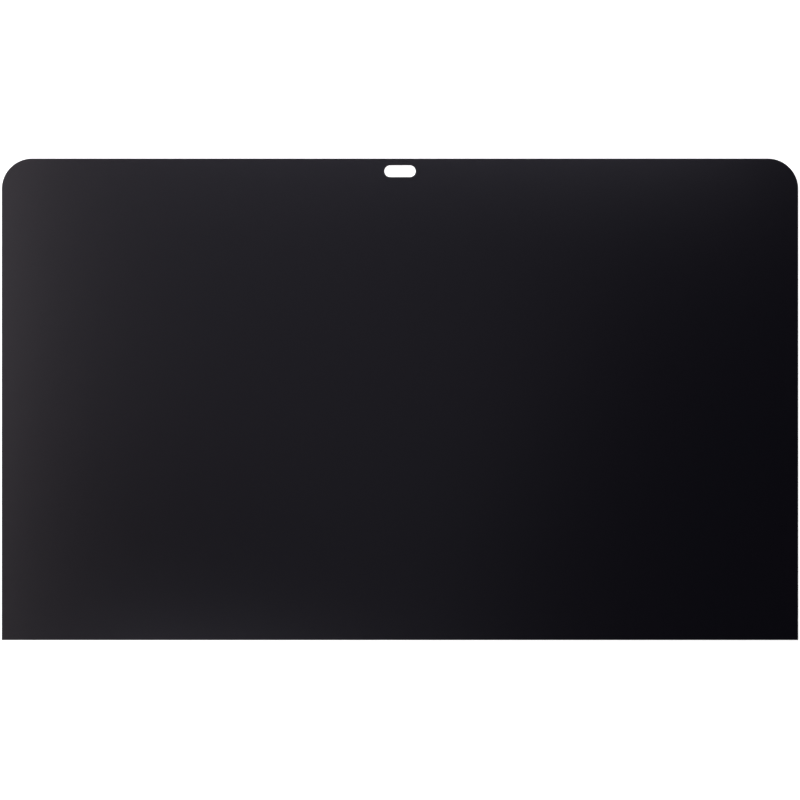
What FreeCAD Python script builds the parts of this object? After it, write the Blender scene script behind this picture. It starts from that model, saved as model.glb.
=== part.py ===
"""Monitor screen protector: one flat sheet of dark filter film that covers a desktop display's front glass.

The sheet lies on its back face. X runs along its width, Y up the screen and Z out of the front face, and
the origin is the middle of the back face. The two upper corners are round, the two lower corners are
square, and a slot with round ends below the upper edge leaves the display's camera clear. Lengths are in
millimetres.
"""

import FreeCAD
import Part
import Sketcher
import math
import os

Vector = FreeCAD.Vector

# Driving dimensions, one row of the spreadsheet each: alias and value.
DIMENSIONS = [
    ("sheet_width", 526.0),
    ("sheet_height", 318.0),
    ("sheet_thickness", 0.5),
    ("corner_radius", 20.0),
    ("slot_length", 20.8),
    ("slot_width", 7.8),
    ("slot_margin", 4.4),
    ("edge_round", 0.1),
]

# A sketch's own origin, as a constraint names it.
ORIGIN = (-1, 1)

FLATNESS = 1e-6
VOLUME_TOLERANCE = 0.001
QUARTER_TURN = math.pi / 2


def add_dimensions(doc):
    """The spreadsheet that every feature takes its sizes from."""
    table = doc.addObject("Spreadsheet::Sheet", "dimensions")
    for row, (alias, value) in enumerate(DIMENSIONS, start=1):
        table.set(f"A{row}", alias)
        table.set(f"B{row}", str(value))
        table.setAlias(f"B{row}", alias)
    doc.recompute()
    return table


def add_sketch(body, name):
    """An empty sketch on the body's XY plane, which is the sheet's back face."""
    plane = next(feature for feature in body.Origin.OriginFeatures if feature.Role == "XY_Plane")
    sketch = body.newObject("Sketcher::SketchObject", name)
    sketch.AttachmentSupport = (plane, "")
    sketch.MapMode = "FlatFace"
    return sketch


def add_line(sketch, start, end):
    return sketch.addGeometry(Part.LineSegment(Vector(*start, 0), Vector(*end, 0)))


def add_arc(sketch, centre, radius, first_angle, last_angle):
    circle = Part.Circle(Vector(*centre, 0), Vector(0, 0, 1), radius)
    return sketch.addGeometry(Part.ArcOfCircle(circle, first_angle, last_angle))


def start_of(element):
    """The first point of a line or arc, as a constraint names it."""
    return element, 1


def end_of(element):
    """The last point of a line or arc, as a constraint names it."""
    return element, 2


def centre_of(element):
    """The centre of an arc, as a constraint names it."""
    return element, 3


def constrain(sketch, *terms):
    return sketch.addConstraint(Sketcher.Constraint(*terms))


def mirror(sketch, left_point, right_point):
    """Sets two points at the same distance either side of the sketch's vertical axis, element -2."""
    constrain(sketch, "Symmetric", *left_point, *right_point, -2)


def drive(sketch, name, expression, *terms):
    """A dimension of the sketch, bound to the spreadsheet."""
    index = constrain(sketch, *terms)
    sketch.renameConstraint(index, name)
    sketch.setExpression(f"Constraints.{name}", expression)


def draw_outline(body, table):
    """The cut outline: square lower corners, and upper corners that are arcs tangent to both edges."""
    half_width = table.sheet_width / 2
    half_height = table.sheet_height / 2
    radius = table.corner_radius
    arc_x = half_width - radius
    arc_y = half_height - radius

    sketch = add_sketch(body, "outline")
    bottom = add_line(sketch, (-half_width, -half_height), (half_width, -half_height))
    right = add_line(sketch, (half_width, -half_height), (half_width, arc_y))
    right_arc = add_arc(sketch, (arc_x, arc_y), radius, 0, QUARTER_TURN)
    top = add_line(sketch, (arc_x, half_height), (-arc_x, half_height))
    left_arc = add_arc(sketch, (-arc_x, arc_y), radius, QUARTER_TURN, 2 * QUARTER_TURN)
    left = add_line(sketch, (-half_width, arc_y), (-half_width, -half_height))

    constrain(sketch, "Coincident", *end_of(bottom), *start_of(right))
    constrain(sketch, "Tangent", *end_of(right), *start_of(right_arc))
    constrain(sketch, "Tangent", *end_of(right_arc), *start_of(top))
    constrain(sketch, "Tangent", *end_of(top), *start_of(left_arc))
    constrain(sketch, "Tangent", *end_of(left_arc), *start_of(left))
    constrain(sketch, "Coincident", *end_of(left), *start_of(bottom))
    constrain(sketch, "Vertical", right)
    constrain(sketch, "Vertical", left)
    constrain(sketch, "Horizontal", top)
    mirror(sketch, start_of(bottom), end_of(bottom))
    constrain(sketch, "Equal", right_arc, left_arc)

    drive(
        sketch, "width", "dimensions.sheet_width",
        "DistanceX", *start_of(bottom), *end_of(bottom), 2 * half_width,
    )
    drive(
        sketch, "height", "dimensions.sheet_height",
        "DistanceY", *start_of(bottom), *end_of(top), 2 * half_height,
    )
    drive(
        sketch, "centre_height", "dimensions.sheet_height / 2",
        "DistanceY", *start_of(bottom), *ORIGIN, half_height,
    )
    drive(sketch, "corner", "dimensions.corner_radius", "Radius", right_arc, radius)
    return sketch


def draw_camera_slot(body, table):
    """The camera slot: two level edges and two half-round ends, centred on the sheet's width."""
    end_radius = table.slot_width / 2
    end_x = (table.slot_length - table.slot_width) / 2
    upper_y = table.sheet_height / 2 - table.slot_margin
    middle_y = upper_y - end_radius
    lower_y = middle_y - end_radius

    sketch = add_sketch(body, "camera_slot_outline")
    upper = add_line(sketch, (end_x, upper_y), (-end_x, upper_y))
    left_end = add_arc(sketch, (-end_x, middle_y), end_radius, QUARTER_TURN, 3 * QUARTER_TURN)
    lower = add_line(sketch, (-end_x, lower_y), (end_x, lower_y))
    right_end = add_arc(sketch, (end_x, middle_y), end_radius, -QUARTER_TURN, QUARTER_TURN)

    constrain(sketch, "Tangent", *end_of(upper), *start_of(left_end))
    constrain(sketch, "Tangent", *end_of(left_end), *start_of(lower))
    constrain(sketch, "Tangent", *end_of(lower), *start_of(right_end))
    constrain(sketch, "Tangent", *end_of(right_end), *start_of(upper))
    constrain(sketch, "Equal", left_end, right_end)
    mirror(sketch, centre_of(left_end), centre_of(right_end))

    drive(sketch, "end_radius", "dimensions.slot_width / 2", "Radius", right_end, end_radius)
    drive(
        sketch, "end_spacing", "dimensions.slot_length - dimensions.slot_width",
        "DistanceX", *centre_of(left_end), *centre_of(right_end), 2 * end_x,
    )
    drive(
        sketch, "upper_edge", "dimensions.sheet_height / 2 - dimensions.slot_margin",
        "DistanceY", *ORIGIN, *start_of(upper), upper_y,
    )
    return sketch


def level_edges(shape):
    """Names of the edges that run round the two faces, at the outline and at the slot."""
    return [
        f"Edge{number}"
        for number, edge in enumerate(shape.Edges, start=1)
        if edge.BoundBox.ZLength < FLATNESS
    ]


def build_filter_sheet(doc, table):
    """The sheet: the outline padded to its thickness, the slot cut through it and every cut edge eased."""
    body = doc.addObject("PartDesign::Body", "filter_sheet")
    body.Label = "filter_sheet"

    pad = body.newObject("PartDesign::Pad", "film")
    pad.Profile = draw_outline(body, table)
    pad.setExpression("Length", "dimensions.sheet_thickness")
    doc.recompute()

    slot = body.newObject("PartDesign::Pocket", "camera_slot")
    slot.Profile = draw_camera_slot(body, table)
    slot.Type = "ThroughAll"
    slot.Reversed = True
    doc.recompute()

    edges = body.newObject("PartDesign::Fillet", "eased_edges")
    edges.Base = (slot, level_edges(slot.Shape))
    edges.setExpression("Radius", "dimensions.edge_round")
    doc.recompute()

    check_slot(table, pad.Shape.Volume - slot.Shape.Volume)
    return body


def check_slot(table, removed):
    """Stops the build unless the slot took out its own area through the whole thickness."""
    area = (table.slot_length - table.slot_width) * table.slot_width + math.pi * table.slot_width**2 / 4
    expected = area * table.sheet_thickness
    if abs(removed - expected) > VOLUME_TOLERANCE * expected:
        raise RuntimeError(f"the slot removed {removed:.3f} mm3 of {expected:.3f} mm3")


def check_document(doc, bodies):
    """Stops the build if a feature failed or a sub-part has no sound solid."""
    for item in doc.Objects:
        if "Invalid" in item.State or "Error" in item.State:
            raise RuntimeError(f"{item.Label} failed: {item.State}")
    for body in bodies:
        if body.Shape.isNull() or not body.Shape.isValid() or len(body.Shape.Solids) != 1:
            raise RuntimeError(f"{body.Label} is not one sound solid")


def main():
    doc = FreeCAD.newDocument("monitor_screen_protector")
    table = add_dimensions(doc)
    bodies = [build_filter_sheet(doc, table)]
    check_document(doc, bodies)
    os.makedirs("parts", exist_ok=True)
    for body in bodies:
        body.Shape.exportStep(f"parts/{body.Label}.step")
        print(f"{body.Label}: {body.Shape.Volume:.1f} mm3, {len(body.Shape.Faces)} faces")


main()
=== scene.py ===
"""Monitor screen protector: a sheet of dark filter film, lying face up on a white studio floor.

Lengths are in metres, in the part's own frame: X along the sheet's width, Y up the screen and Z out of the
front face, with the origin in the middle of the back face. The film is drawn as one closed surface: two flat
faces, each a grid of upright and level lines, joined by the cut edges of the outline and the camera slot. It
is seen from straight above.
"""

import math

import bpy
import numpy as np
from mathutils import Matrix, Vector


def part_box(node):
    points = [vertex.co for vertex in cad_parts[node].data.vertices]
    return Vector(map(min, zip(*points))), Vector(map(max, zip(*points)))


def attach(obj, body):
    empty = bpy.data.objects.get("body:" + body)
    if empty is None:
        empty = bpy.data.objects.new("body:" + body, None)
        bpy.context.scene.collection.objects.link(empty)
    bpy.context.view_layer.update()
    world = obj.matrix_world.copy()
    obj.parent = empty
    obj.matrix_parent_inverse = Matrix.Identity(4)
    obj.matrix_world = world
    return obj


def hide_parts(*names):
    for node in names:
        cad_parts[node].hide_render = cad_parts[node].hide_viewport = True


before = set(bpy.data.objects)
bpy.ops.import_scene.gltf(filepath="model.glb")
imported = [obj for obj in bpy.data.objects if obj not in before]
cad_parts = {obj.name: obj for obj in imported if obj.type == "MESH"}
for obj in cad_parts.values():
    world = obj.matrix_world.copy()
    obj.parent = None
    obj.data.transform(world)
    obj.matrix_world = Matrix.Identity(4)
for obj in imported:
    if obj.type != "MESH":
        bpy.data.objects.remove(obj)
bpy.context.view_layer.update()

MILLIMETRE = 0.001

# The sheet's cut, with its overall size taken from the frame.
SHEET_LOW, SHEET_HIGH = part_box("filter_sheet")
HALF_WIDTH = (SHEET_HIGH.x - SHEET_LOW.x) / 2
HALF_HEIGHT = (SHEET_HIGH.y - SHEET_LOW.y) / 2
THICKNESS = SHEET_HIGH.z - SHEET_LOW.z
CORNER_RADIUS = 20 * MILLIMETRE
SLOT_LENGTH = 20.8 * MILLIMETRE
SLOT_WIDTH = 7.8 * MILLIMETRE
SLOT_MARGIN = 4.4 * MILLIMETRE
EDGE_ROUND = 0.1 * MILLIMETRE

# The centre of the right upper corner, the slot's end radius, and the places of its end centres and middle.
CORNER_X = HALF_WIDTH - CORNER_RADIUS
CORNER_Y = HALF_HEIGHT - CORNER_RADIUS
SLOT_RADIUS = SLOT_WIDTH / 2
SLOT_END = SLOT_LENGTH / 2 - SLOT_RADIUS
SLOT_HEIGHT = HALF_HEIGHT - SLOT_MARGIN - SLOT_RADIUS

# The flat faces, which stop where the easing of the cut edges starts.
FACE_HALF_WIDTH = HALF_WIDTH - EDGE_ROUND
FACE_HALF_HEIGHT = HALF_HEIGHT - EDGE_ROUND
FACE_CORNER_RADIUS = CORNER_RADIUS - EDGE_ROUND
FACE_SLOT_RADIUS = SLOT_RADIUS + EDGE_ROUND

# How finely the surface is divided, where its shading breaks, and how near to a line a point is on it.
EDGE_PITCH = 12 * MILLIMETRE
CORNER_PITCH = 1.7 * MILLIMETRE
SLOT_PITCH = 0.7 * MILLIMETRE
EASING_STEPS = 4
SHARP_ANGLE = math.radians(40)
ON_LINE = 0.001 * MILLIMETRE

# The film's finish. The real louvres stand about 0.1 mm apart and the real grit of the hard coat is about
# 0.03 mm, too fine for a view of the sheet. Both are drawn coarser, and kept faint as on the real film.
LOUVRE_PITCH = 1.6 * MILLIMETRE
LOUVRE_DEPTH = 0.3
GRIT_SIZE = 1.2 * MILLIMETRE
GRIT_HEIGHT = 0.006 * MILLIMETRE
GRIT_RANGE = (0.3, 0.7)
TINT_DRIFT = 150 * MILLIMETRE
SKIN_THICKNESS = 0.15 * MILLIMETRE
SKIN_BLUR = 0.02 * MILLIMETRE
FRONT_ROUGHNESS = (0.23, 0.27)
BACK_ROUGHNESS = 0.14
EDGE_ROUGHNESS = 0.5
FILM_IOR = 1.53

# Upright part of the surface's direction: over the first it is a flat face, under the second the cut edge.
FLAT_FACE = 0.95
CUT_EDGE = 0.3

# Colours of the film, the floor and the lights, as sRGB hex values.
VIOLET_BLACK = "#0b0811"
BLUE_BLACK = "#080911"
CORE_BLACK = "#151419"
SKIN_GREY = "#56555e"
VIOLET_SHEEN = "#f9f2ff"
PAPER_WHITE = "#f2f2f2"
FULL_WHITE = "#ffffff"
WARM_LIGHT = "#fffaf5"
COOL_LIGHT = "#f6f9ff"

# The photograph's framing, in its pixels: its size, the middle of the sheet, and the real size of a pixel.
IMAGE_SIZE = 800
SHEET_MIDDLE_X = 400.0
SHEET_MIDDLE_Y = 399.3
PIXEL_SIZE = 0.6605 * MILLIMETRE
LENS = 85.0
SENSOR = 36.0

# The studio's floor, and its glow at two distances from the sheet's middle.
FLOOR_REACH = 20.0
FLOOR_DROP = 0.05 * MILLIMETRE
GLOW_DISTANCE = (0.3, 1.2)
FLOOR_GLOW = (0.65, 1.0)

# How bright the studio's walls are at a few heights, from 0 at the horizon to 1 overhead.
WALL_LIGHT = ((0.10, 1.0), (0.28, 0.20), (0.64, 0.12), (0.85, 0.02))

# Which of a Mix node's like-named results is the colour, and a Wave node's pitch at a scale of one.
MIX_COLOUR = 2
WAVE_PITCH = math.pi / 10


def linear_colour(hex_colour):
    """An sRGB hex colour as linear red, green, blue and full alpha, by the sRGB standard's own curve."""
    parts = np.array([int(hex_colour[i:i + 2], 16) for i in (1, 3, 5)]) / 255
    straight = parts / 12.92
    curved = ((parts + 0.055) / 1.055) ** 2.4
    return (*np.where(parts <= 0.04045, straight, curved).tolist(), 1.0)


def add_node(tree, kind, settings=None, **links):
    """Adds a node of that kind, with its settings, and sets or links its inputs by name.

    An underscore in an input's name stands for a space, and a number after a double underscore picks one of
    several inputs with the same name.
    """
    node = tree.nodes.new(kind)
    for name, value in (settings or {}).items():
        setattr(node, name, value)
    for name, value in links.items():
        name, _, place = name.partition("__")
        sockets = [socket for socket in node.inputs if socket.name == name.replace("_", " ")]
        socket = sockets[int(place or 0)]
        if isinstance(value, bpy.types.NodeSocket):
            tree.links.new(value, socket)
        else:
            socket.default_value = value
    return node


def axis_lines(stops, pitches):
    """Places of a grid's lines along an axis: even steps from stop to stop, each at most a pitch long."""
    spans = [
        np.linspace(start, stop, math.ceil((stop - start) / pitch), endpoint=False)
        for start, stop, pitch in zip(stops, stops[1:], pitches)
    ]
    return np.concatenate([*spans, stops[-1:]])


def press_round(across, up, radius):
    """Presses a square of a grid into a quarter disc about the square's inner corner.

    Each distance is multiplied by the root of one less half the other's square, both in radii. The outer
    sides of the square then lie on the circle, and the inner sides stay where they are.
    """
    return across * np.sqrt(1 - (up / radius) ** 2 / 2), up * np.sqrt(1 - (across / radius) ** 2 / 2)


def press_corners(x, y):
    """Presses the grid's two upper corners round."""
    across, up = press_round(
        np.maximum(np.abs(x) - CORNER_X, 0), np.maximum(y - CORNER_Y, 0), FACE_CORNER_RADIUS,
    )
    return np.sign(x) * (np.minimum(np.abs(x), CORNER_X) + across), np.minimum(y, CORNER_Y) + up


def press_slot_ends(x, y):
    """Presses both ends of the slot's box round. It holds for points of that box only."""
    across, up = press_round(
        np.clip(np.abs(x) - SLOT_END, 0, FACE_SLOT_RADIUS),
        np.clip(y - SLOT_HEIGHT, -FACE_SLOT_RADIUS, FACE_SLOT_RADIUS), FACE_SLOT_RADIUS,
    )
    return np.sign(x) * (np.minimum(np.abs(x), SLOT_END) + across), SLOT_HEIGHT + up


def quads(index):
    """The cells of a grid of point numbers, anticlockwise where rows go up and columns to the right."""
    return np.stack([index[:-1, :-1], index[:-1, 1:], index[1:, 1:], index[1:, :-1]], -1)


def border(index):
    """The point numbers round a grid, anticlockwise from its lower left corner."""
    return np.concatenate([index[0, :-1], index[:-1, -1], index[-1, :0:-1], index[:0:-1, 0]])


def face_plan():
    """Plan of a flat face: a grid of upright and level lines, pressed round at the corners and the slot.

    Gives the grid's points, its cells without those in the slot, and the points round the outline and round
    the slot, each in the order that keeps the film on the left.
    """
    right = axis_lines(
        [0, SLOT_END, SLOT_END + FACE_SLOT_RADIUS, CORNER_X, FACE_HALF_WIDTH],
        [EDGE_PITCH, SLOT_PITCH, EDGE_PITCH, CORNER_PITCH],
    )
    level = axis_lines(
        [-FACE_HALF_HEIGHT, CORNER_Y, SLOT_HEIGHT - FACE_SLOT_RADIUS, SLOT_HEIGHT + FACE_SLOT_RADIUS,
         FACE_HALF_HEIGHT],
        [EDGE_PITCH, CORNER_PITCH, SLOT_PITCH, CORNER_PITCH],
    )
    x, y = np.meshgrid(np.concatenate([-right[:0:-1], right]), level)
    along_slot = np.abs(x) < SLOT_END + FACE_SLOT_RADIUS + ON_LINE
    in_slot = along_slot & (np.abs(y - SLOT_HEIGHT) < FACE_SLOT_RADIUS + ON_LINE)
    plan = np.where(in_slot, press_slot_ends(x, y), press_corners(x, y))

    index = np.arange(x.size).reshape(x.shape)
    cells = quads(index)
    open_cells = in_slot.ravel()[cells].all(-1)
    slot = index[np.ix_(in_slot.any(1), in_slot.any(0))]
    return plan.reshape(2, -1).T, cells[~open_cells], border(index), border(slot)[::-1]


def way_off_sheet(points):
    """The way out of the sheet at points of its outline.

    It is square to a straight edge, away from the circle's centre in a round corner, and the sum of both
    edges' ways in a square corner, so that the cut edge keeps its mitre there.
    """
    x, y = points.T
    in_corner = (np.abs(x) > CORNER_X) & (y > CORNER_Y)
    on_side = np.abs(np.abs(x) - FACE_HALF_WIDTH) < ON_LINE
    on_level = np.abs(np.abs(y) - FACE_HALF_HEIGHT) < ON_LINE
    across = np.where(in_corner, x - np.sign(x) * CORNER_X, on_side * np.sign(x) * FACE_CORNER_RADIUS)
    up = np.where(in_corner, y - CORNER_Y, on_level * np.sign(y) * FACE_CORNER_RADIUS)
    return np.stack([across, up], -1) / FACE_CORNER_RADIUS


def way_into_slot(points):
    """The way out of the film at points of the slot: towards the line between the slot's end centres."""
    x, y = points.T
    return np.stack([np.clip(x, -SLOT_END, SLOT_END) - x, SLOT_HEIGHT - y], -1) / FACE_SLOT_RADIUS


def rim_profile():
    """How far out and how high the rows of a cut edge are, from the back face's border to the front face's.

    Each half is a quarter circle of the easing's radius, and the straight wall joins the two.
    """
    turn = np.linspace(0, math.pi / 2, EASING_STEPS + 1)
    out = EDGE_ROUND * np.sin(turn)
    rise = EDGE_ROUND * (1 - np.cos(turn))
    return np.concatenate([out, out[::-1]]), np.concatenate([rise, THICKNESS - rise[::-1]])


def rim_rows(points, way):
    """The rim profile carried along a border: each row is the border, moved out and set at its height."""
    out, height = rim_profile()
    plan = points[None] + out[:, None, None] * way[None]
    level = np.broadcast_to(height[:, None, None], (*plan.shape[:2], 1))
    return np.concatenate([plan, level], -1)


def film_surface():
    """Points and four-sided faces of the film, and how many of the faces are flat: those come first.

    The back face is the plan, turned over, and the front face is the plan at the film's thickness. A rim
    joins the two along each border, from the back face up.
    """
    plan, cells, outline, slot = face_plan()
    count = len(plan)
    points = [np.column_stack([plan, np.zeros(count)]), np.column_stack([plan, np.full(count, THICKNESS)])]
    faces = [cells[:, ::-1], cells + count]
    for loop, way in ((outline, way_off_sheet(plan[outline])), (slot, way_into_slot(plan[slot]))):
        rows = rim_rows(plan[loop], way)[1:-1].reshape(-1, 3)
        first = sum(len(group) for group in points)
        between = first + np.arange(len(rows)).reshape(-1, len(loop))
        index = np.vstack([loop, between, loop + count])
        faces.append(quads(np.column_stack([index, index[:, 0]])).reshape(-1, 4))
        points.append(rows)

    # The grid's points inside the slot are on no face, and are left out.
    used, faces = np.unique(np.concatenate(faces), return_inverse=True)
    return np.concatenate(points)[used], faces.reshape(-1, 4), 2 * len(cells)


def make_film():
    """The film as one closed mesh, with flat faces and smooth rims."""
    points, faces, flat_count = film_surface()
    mesh = bpy.data.meshes.new("filter_film")
    mesh.from_pydata(points.tolist(), [], faces.tolist())

    # Marking the sharp edges makes every face smooth, so the flat ones are set after it.
    mesh.set_sharp_from_angle(angle=SHARP_ANGLE)
    mesh.polygons.foreach_set("use_smooth", np.arange(len(faces)) >= flat_count)
    film = bpy.data.objects.new("filter_film", mesh)
    bpy.context.scene.collection.objects.link(film)
    return film


def face_tint(tree, place):
    """Colour of the flat faces: a tint that drifts between a violet and a blue black, lined by the louvres.

    The drift is smooth noise, and the louvres multiply it by a sine wave along X.
    """
    drift = add_node(
        tree, "ShaderNodeTexNoise", Vector=place.outputs["Object"],
        Scale=1 / TINT_DRIFT, Detail=2.0, Roughness=0.5,
    )
    tint = add_node(
        tree, "ShaderNodeMix", {"data_type": "RGBA"}, Factor=drift.outputs["Fac"],
        A__2=linear_colour(VIOLET_BLACK), B__2=linear_colour(BLUE_BLACK),
    )
    louvres = add_node(
        tree, "ShaderNodeTexWave", {"wave_type": "BANDS", "bands_direction": "X", "wave_profile": "SIN"},
        Vector=place.outputs["Object"], Scale=WAVE_PITCH / LOUVRE_PITCH, Distortion=0.0, Detail=0.0,
    )
    lined = add_node(
        tree, "ShaderNodeMix", {"data_type": "RGBA", "blend_type": "MULTIPLY"}, Factor=LOUVRE_DEPTH,
        A__2=tint.outputs[MIX_COLOUR], B__2=louvres.outputs["Color"],
    )
    return lined.outputs[MIX_COLOUR]


def cut_layers(tree, place):
    """Colour of the cut edge: two clear skins that scatter light, either side of a core that takes it.

    The distance from the middle of the film's thickness says which of them a point is in.
    """
    height = add_node(tree, "ShaderNodeSeparateXYZ", Vector=place.outputs["Object"])
    middle = add_node(
        tree, "ShaderNodeMath", {"operation": "SUBTRACT"},
        Value__0=height.outputs["Z"], Value__1=THICKNESS / 2,
    )
    depth = add_node(tree, "ShaderNodeMath", {"operation": "ABSOLUTE"}, Value=middle.outputs["Value"])
    core_reach = THICKNESS / 2 - SKIN_THICKNESS
    skin = add_node(
        tree, "ShaderNodeMapRange", Value=depth.outputs["Value"],
        From_Min=core_reach - SKIN_BLUR, From_Max=core_reach + SKIN_BLUR, To_Min=0.0, To_Max=1.0,
    )
    layers = add_node(
        tree, "ShaderNodeMix", {"data_type": "RGBA"}, Factor=skin.outputs["Result"],
        A__2=linear_colour(CORE_BLACK), B__2=linear_colour(SKIN_GREY),
    )
    return layers.outputs[MIX_COLOUR]


def satin_polyester_film():
    """Laminated polyester film with an anti-glare hard coat: near black, satin, with a faint violet sheen.

    The eye sees a deep black that takes a broad soft reflection, with a fine grain in it from low down, a
    back that is glossier than the front, and from near a cut edge with a black core between paler skins.
    """
    material = bpy.data.materials.new("satin_polyester_film")
    material.use_nodes = True
    tree = material.node_tree
    tree.nodes.clear()
    place = add_node(tree, "ShaderNodeTexCoord")
    facing = add_node(tree, "ShaderNodeSeparateXYZ", Vector=place.outputs["Normal"])

    # The flat faces look up or down and the cut edge sideways.
    upright = add_node(tree, "ShaderNodeMath", {"operation": "ABSOLUTE"}, Value=facing.outputs["Z"])
    edge = add_node(
        tree, "ShaderNodeMapRange", {"interpolation_type": "SMOOTHSTEP"}, Value=upright.outputs["Value"],
        From_Min=FLAT_FACE, From_Max=CUT_EDGE, To_Min=0.0, To_Max=1.0,
    )
    colour = add_node(
        tree, "ShaderNodeMix", {"data_type": "RGBA"}, Factor=edge.outputs["Result"],
        A__2=face_tint(tree, place), B__2=cut_layers(tree, place),
    )

    # Grit in the front's hard coat makes it satin. The back has none and is glossier.
    front = add_node(
        tree, "ShaderNodeMapRange", Value=facing.outputs["Z"],
        From_Min=-0.5, From_Max=0.5, To_Min=0.0, To_Max=1.0,
    )
    grit = add_node(
        tree, "ShaderNodeTexNoise", Vector=place.outputs["Object"],
        Scale=1 / GRIT_SIZE, Detail=2.0, Roughness=0.6,
    )
    satin = add_node(
        tree, "ShaderNodeMapRange", Value=grit.outputs["Fac"], From_Min=GRIT_RANGE[0],
        From_Max=GRIT_RANGE[1], To_Min=FRONT_ROUGHNESS[0], To_Max=FRONT_ROUGHNESS[1],
    )
    faces = add_node(
        tree, "ShaderNodeMapRange", Value=front.outputs["Result"],
        From_Min=0.0, From_Max=1.0, To_Min=BACK_ROUGHNESS, To_Max=satin.outputs["Result"],
    )
    roughness = add_node(
        tree, "ShaderNodeMapRange", Value=edge.outputs["Result"],
        From_Min=0.0, From_Max=1.0, To_Min=faces.outputs["Result"], To_Max=EDGE_ROUGHNESS,
    )
    grain = add_node(
        tree, "ShaderNodeBump", Height=grit.outputs["Fac"], Strength=front.outputs["Result"],
        Distance=GRIT_HEIGHT,
    )
    shader = add_node(
        tree, "ShaderNodeBsdfPrincipled",
        Base_Color=colour.outputs[MIX_COLOUR], Roughness=roughness.outputs["Result"],
        Normal=grain.outputs["Normal"], IOR=FILM_IOR, Specular_Tint=linear_colour(VIOLET_SHEEN),
    )
    add_node(tree, "ShaderNodeOutputMaterial", Surface=shader.outputs["BSDF"])
    return material


def white_paper():
    """Studio sweep paper: plain white, and seen as white by the camera and in reflections.

    Its own glow for those rays grows with the distance from the sheet, where less light falls on it.
    """
    material = bpy.data.materials.new("white_paper")
    material.use_nodes = True
    tree = material.node_tree
    tree.nodes.clear()
    path = add_node(tree, "ShaderNodeLightPath")
    seen = add_node(
        tree, "ShaderNodeMath", {"operation": "MAXIMUM"},
        Value__0=path.outputs["Is Camera Ray"], Value__1=path.outputs["Is Glossy Ray"],
    )
    shown = add_node(
        tree, "ShaderNodeMath", {"operation": "MAXIMUM"},
        Value__0=seen.outputs["Value"], Value__1=path.outputs["Is Transmission Ray"],
    )
    place = add_node(tree, "ShaderNodeTexCoord")
    distance = add_node(
        tree, "ShaderNodeVectorMath", {"operation": "LENGTH"}, Vector=place.outputs["Object"],
    )
    fill = add_node(
        tree, "ShaderNodeMapRange", {"interpolation_type": "SMOOTHSTEP"}, Value=distance.outputs["Value"],
        From_Min=GLOW_DISTANCE[0], From_Max=GLOW_DISTANCE[1], To_Min=FLOOR_GLOW[0], To_Max=FLOOR_GLOW[1],
    )
    glow = add_node(
        tree, "ShaderNodeMath", {"operation": "MULTIPLY"},
        Value__0=shown.outputs["Value"], Value__1=fill.outputs["Result"],
    )
    paper = add_node(tree, "ShaderNodeBsdfDiffuse", Color=linear_colour(PAPER_WHITE))
    light = add_node(
        tree, "ShaderNodeEmission", Color=linear_colour(FULL_WHITE), Strength=glow.outputs["Value"],
    )
    both = add_node(
        tree, "ShaderNodeAddShader", Shader__0=paper.outputs["BSDF"], Shader__1=light.outputs["Emission"],
    )
    add_node(tree, "ShaderNodeOutputMaterial", Surface=both.outputs["Shader"])
    return material


def make_floor():
    """A large flat floor just under the sheet: one square."""
    height = SHEET_LOW.z - FLOOR_DROP
    corners = np.array([[-1, -1, 0], [1, -1, 0], [1, 1, 0], [-1, 1, 0]]) * FLOOR_REACH + [0, 0, height]
    mesh = bpy.data.meshes.new("floor")
    mesh.from_pydata(corners.tolist(), [], [(0, 1, 2, 3)])
    mesh.materials.append(white_paper())
    floor = bpy.data.objects.new("floor", mesh)
    bpy.context.scene.collection.objects.link(floor)


def make_world():
    """A studio with pale walls: white at the horizon, dim above it and nearly black overhead."""
    world = bpy.data.worlds.new("studio")
    world.use_nodes = True
    tree = world.node_tree
    tree.nodes.clear()
    place = add_node(tree, "ShaderNodeTexCoord")
    direction = add_node(tree, "ShaderNodeSeparateXYZ", Vector=place.outputs["Generated"])
    wall = add_node(tree, "ShaderNodeValToRGB", Fac=direction.outputs["Z"])
    stops = wall.color_ramp.elements
    while len(stops) < len(WALL_LIGHT):
        stops.new(1.0)
    for stop, (height, grey) in zip(stops, WALL_LIGHT):
        stop.position = height
        stop.color = (grey, grey, grey, 1.0)
    sky = add_node(tree, "ShaderNodeBackground", Color=wall.outputs["Color"], Strength=1.0)
    add_node(tree, "ShaderNodeOutputWorld", Surface=sky.outputs["Background"])
    bpy.context.scene.world = world


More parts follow.
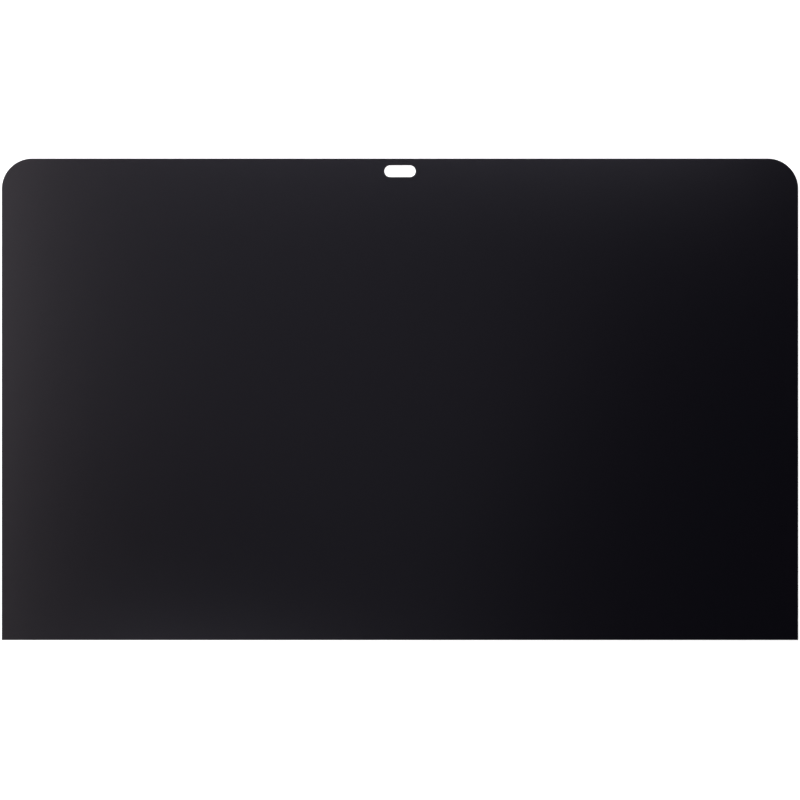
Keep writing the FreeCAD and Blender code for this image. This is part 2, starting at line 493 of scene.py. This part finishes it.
def add_softbox(name, hex_colour, azimuth, elevation, distance, width, height, radiance):
    """A soft light on a dome about the sheet, turned to its middle.

    Azimuth runs from +X towards +Y, both angles in degrees. A radiance of one would look white in a mirror.
    """
    light = bpy.data.lights.new(name, "AREA")
    light.shape = "RECTANGLE"
    light.size = width
    light.size_y = height
    light.energy = radiance * math.pi * width * height
    light.color = linear_colour(hex_colour)[:3]
    around = math.radians(azimuth)
    up = math.radians(elevation)
    way = Vector((math.cos(up) * math.cos(around), math.cos(up) * math.sin(around), math.sin(up)))
    lamp = bpy.data.objects.new(name, light)
    lamp.location = way * distance
    lamp.rotation_euler = way.to_track_quat("Z", "Y").to_euler()
    lamp.visible_camera = False
    bpy.context.scene.collection.objects.link(lamp)


def make_lights():
    """Four soft lights, whose reflection fades over the film from left to right.

    The large one is on the left. One is beyond the top edge, a strip is beyond the lower edge, and a dim
    panel is overhead.
    """
    add_softbox(
        "side_softbox", WARM_LIGHT, azimuth=175, elevation=49,
        distance=1.2, width=1.7, height=0.58, radiance=2.65,
    )
    add_softbox(
        "top_softbox", COOL_LIGHT, azimuth=87, elevation=49,
        distance=0.9, width=0.73, height=0.62, radiance=2.2,
    )
    add_softbox(
        "lower_strip", COOL_LIGHT, azimuth=254, elevation=62,
        distance=0.9, width=0.44, height=0.08, radiance=3.2,
    )
    add_softbox(
        "overhead_panel", COOL_LIGHT, azimuth=155, elevation=82,
        distance=1.6, width=0.53, height=0.89, radiance=0.22,
    )


def make_camera():
    """A camera straight above the sheet, with the photograph's framing."""
    view_width = IMAGE_SIZE * PIXEL_SIZE
    distance = view_width * LENS / SENSOR
    aside = (IMAGE_SIZE / 2 - SHEET_MIDDLE_X) * PIXEL_SIZE
    above = (SHEET_MIDDLE_Y - IMAGE_SIZE / 2) * PIXEL_SIZE
    camera = bpy.data.cameras.new("camera")
    camera.lens = LENS
    camera.sensor_width = SENSOR
    holder = bpy.data.objects.new("camera", camera)
    holder.location = (aside, above, SHEET_HIGH.z + distance)
    bpy.context.scene.collection.objects.link(holder)
    bpy.context.scene.camera = holder


bpy.context.scene.view_settings.view_transform = "Standard"
film = make_film()
film.data.materials.append(satin_polyester_film())
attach(film, "root")
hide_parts("filter_sheet")
make_floor()
make_world()
make_lights()
make_camera()
